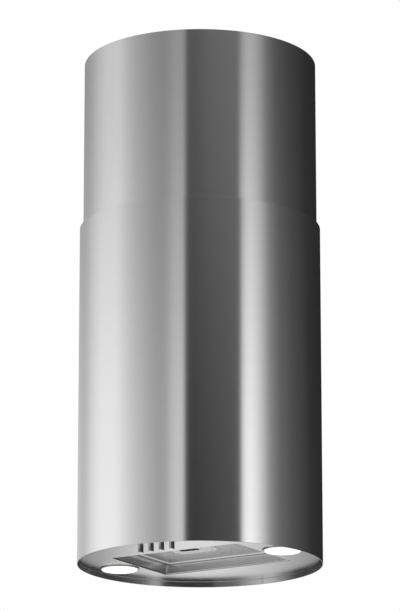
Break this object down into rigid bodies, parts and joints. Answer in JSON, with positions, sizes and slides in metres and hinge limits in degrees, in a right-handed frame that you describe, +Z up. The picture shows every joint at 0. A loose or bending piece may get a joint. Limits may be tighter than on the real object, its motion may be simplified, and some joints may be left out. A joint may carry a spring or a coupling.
{
  "type": "island range hood",
  "caption": "Ceiling-hung cylinder range hood with telescopic tubes, recessed base, hinged grease filter, lamps, push keys, blower and duct collar with flaps.",
  "frame": {"origin": "centre of the ceiling bolt circle, on the upper face of the ceiling plate", "axes": "+Z up along the tubes, -Y towards the keys at the front, +X to the right of a user who faces the keys from the front"},
  "size_m": [0.35, 0.35, 0.746],
  "materials": {
    "tube_steel": "satin",
    "base_steel": "satin",
    "zinc_sheet": "galvanised",
    "zinc_fastener": "zinc plated",
    "spring_steel": "bright",
    "black_plastic": "moulded",
    "grey_plastic": "moulded",
    "motor_metal": "plain",
    "bright_steel": "ground",
    "rubber": "matt",
    "light_plastic": "moulded",
    "circuit_board": "lacquered",
    "led_board": "lacquered",
    "bezel_steel": "polished",
    "lamp_lens": "opal",
    "key_metal": "satin",
    "filter_aluminium": "satin",
    "handle_metal": "satin"
  },
  "bodies": {
    "ceiling_mount": {"ceiling_plate": "zinc_sheet", "upper_rail_1": "zinc_sheet", "upper_rail_2": "zinc_sheet", "upper_rail_3": "zinc_sheet", "upper_rail_4": "zinc_sheet", "rail_head_bolts": "zinc_fastener", "upper_tube": "tube_steel", "upper_tube_screws": "zinc_fastener"},
    "hood": {"lower_tube": "tube_steel", "guide_ring": "black_plastic", "base_plate": "base_steel", "stud_nuts": "zinc_fastener", "inner_casing": "zinc_sheet", "casing_deck": "zinc_sheet", "casing_screws": "zinc_fastener", "lower_rail_1": "zinc_sheet", "lower_rail_2": "zinc_sheet", "lower_rail_3": "zinc_sheet", "lower_rail_4": "zinc_sheet", "rail_bolts": "zinc_fastener", "exhaust_collar": "black_plastic", "blower_neck": "zinc_sheet", "scroll_front": "grey_plastic", "scroll_rear": "grey_plastic", "inlet_ring_front": "grey_plastic", "inlet_ring_rear": "grey_plastic", "motor": "motor_metal", "motor_bracket": "zinc_sheet", "motor_bushes": "rubber", "motor_bolts": "zinc_fastener", "capacitor": "light_plastic", "control_box": "light_plastic", "control_lid": "light_plastic", "control_board": "circuit_board", "terminal_block": "light_plastic", "cable_gland": "black_plastic", "lamp_bezel_left": "bezel_steel", "lamp_bezel_right": "bezel_steel", "lamp_lens_left": "lamp_lens", "lamp_lens_right": "lamp_lens", "lamp_board_left": "led_board", "lamp_board_right": "led_board", "lamp_clip_left": "spring_steel", "lamp_clip_right": "spring_steel", "key_housing": "black_plastic", "latch_keeper": "spring_steel"},
    "filter": {"filter_frame": "filter_aluminium", "filter_mesh": "filter_aluminium", "filter_pad": "filter_aluminium", "filter_handle": "handle_metal"},
    "filter_latch": {"latch_slider": "handle_metal", "latch_spring": "spring_steel"},
    "fan": {"impeller": "grey_plastic", "impeller_shaft": "bright_steel"},
    "left_flap": {"flap_left": "black_plastic"},
    "right_flap": {"flap_right": "black_plastic"},
    "key_one": {"key_1": "key_metal"},
    "key_two": {"key_2": "key_metal"},
    "key_three": {"key_3": "key_metal"},
    "key_four": {"key_4": "key_metal"}
  },
  "joints": [
    {"name": "height_slide", "type": "slide", "parent": "ceiling_mount", "child": "hood", "axis": [0, 0, -1], "range_m": [-0.079, 0.195]},
    {"name": "filter_hinge", "type": "hinge", "parent": "hood", "child": "filter", "pos_m": [-0.09625, 0.003, -0.71905], "axis": [0, 1, 0], "range_deg": [0, 85], "deforming": ["latch_keeper"]},
    {"name": "latch_slide", "type": "slide", "parent": "filter", "child": "filter_latch", "axis": [-1, 0, 0], "range_m": [0, 0.004], "stiffness_N_per_m": 400, "springref_m": -0.003, "deforming": ["latch_spring"]},
    {"name": "fan_spin", "type": "hinge", "parent": "hood", "child": "fan", "pos_m": [0.058, 0, -0.581], "axis": [0, 1, 0], "continuous": true},
    {"name": "flap_left_swing", "type": "hinge", "parent": "hood", "child": "left_flap", "pos_m": [-0.0045, 0, -0.4221], "axis": [0, 1, 0], "range_deg": [0, 80]},
    {"name": "flap_right_swing", "type": "hinge", "parent": "hood", "child": "right_flap", "pos_m": [0.0045, 0, -0.4221], "axis": [0, -1, 0], "range_deg": [0, 80]},
    {"name": "key_1_press", "type": "slide", "parent": "hood", "child": "key_one", "axis": [0, 0, 1], "range_m": [0, 0.003], "stiffness_N_per_m": 400, "springref_m": -0.002},
    {"name": "key_2_press", "type": "slide", "parent": "hood", "child": "key_two", "axis": [0, 0, 1], "range_m": [0, 0.003], "stiffness_N_per_m": 400, "springref_m": -0.002},
    {"name": "key_3_press", "type": "slide", "parent": "hood", "child": "key_three", "axis": [0, 0, 1], "range_m": [0, 0.003], "stiffness_N_per_m": 400, "springref_m": -0.002},
    {"name": "key_4_press", "type": "slide", "parent": "hood", "child": "key_four", "axis": [0, 0, 1], "range_m": [0, 0.003], "stiffness_N_per_m": 400, "springref_m": -0.002}
  ]
}
